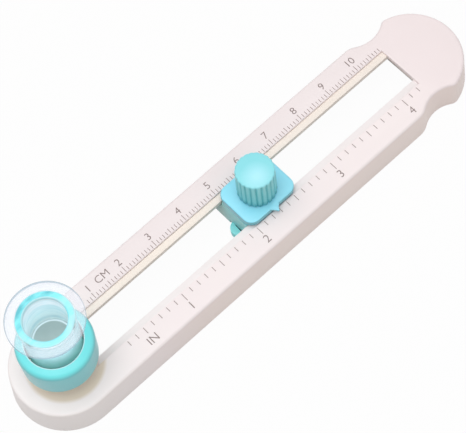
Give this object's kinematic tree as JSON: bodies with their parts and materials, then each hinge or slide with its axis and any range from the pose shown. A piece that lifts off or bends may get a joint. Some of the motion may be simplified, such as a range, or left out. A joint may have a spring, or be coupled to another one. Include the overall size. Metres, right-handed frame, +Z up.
{
  "type": "circle cutter",
  "caption": "Circle cutter for paper: a slotted scale beam swings round a clear finger cup and carries a sliding blade carriage that a fluted knob clamps.",
  "frame": {"origin": "on the pivot axis, at the underside of the non-slip pad, which is the table", "axes": "+X along the beam from the pivot to the round head, +Z up along the pivot axis, +Y towards the centimetre scale"},
  "size_m": [0.1476, 0.0284, 0.0383],
  "materials": {
    "white_plastic": "satin moulded plastic",
    "cream_plastic": "satin moulded plastic",
    "teal_plastic": "soft gloss moulded plastic",
    "sky_plastic": "soft gloss moulded plastic",
    "clear_plastic": "polished clear plastic",
    "grey_plastic": "satin moulded plastic",
    "rubber": "matt",
    "steel": "plated",
    "blade_steel": "dark ground steel",
    "brass": "turned"
  },
  "bodies": {
    "beam": {"top_shell": "white_plastic", "slide_frame": "cream_plastic", "base_plate": "white_plastic", "base_screw_1": "steel", "base_screw_2": "steel", "base_screw_3": "steel", "base_screw_4": "steel", "base_screw_5": "steel", "base_screw_6": "steel", "pivot_collar": "teal_plastic", "bearing_bush": "grey_plastic"},
    "pivot": {"non_slip_pad": "rubber", "pivot_spindle": "grey_plastic", "thrust_washer": "steel", "cup_screw": "steel", "cup_cap": "grey_plastic", "finger_cup": "clear_plastic"},
    "carriage": {"carriage_plate": "sky_plastic", "carriage_block": "teal_plastic", "carriage_screw_1": "steel", "carriage_screw_2": "steel", "blade_holder": "teal_plastic", "blade": "blade_steel", "blade_screw": "steel"},
    "keeper": {"keeper_plate": "grey_plastic", "keeper_nut": "brass"},
    "knob": {"clamp_knob": "teal_plastic", "clamp_screw": "steel", "knob_washer": "steel"}
  },
  "joints": [
    {"name": "pivot_turn", "type": "hinge", "parent": "beam", "child": "pivot", "pos_m": [0, 0, 0], "axis": [0, 0, 1], "continuous": true},
    {"name": "carriage_slide", "type": "slide", "parent": "beam", "child": "carriage", "axis": [1, 0, 0], "range_m": [-0.0475, 0.042]},
    {"name": "knob_turn", "type": "hinge", "parent": "carriage", "child": "knob", "pos_m": [0.0648, 0, 0], "axis": [0, 0, 1], "range_deg": [0, 360]},
    {"name": "keeper_lift", "type": "slide", "parent": "carriage", "child": "keeper", "axis": [0, 0, 1], "range_m": [-0.0005, 0]}
  ],
  "couplings": [
    {"joint": "knob_turn", "follows": "keeper_lift", "rad_per_m": -12566}
  ]
}
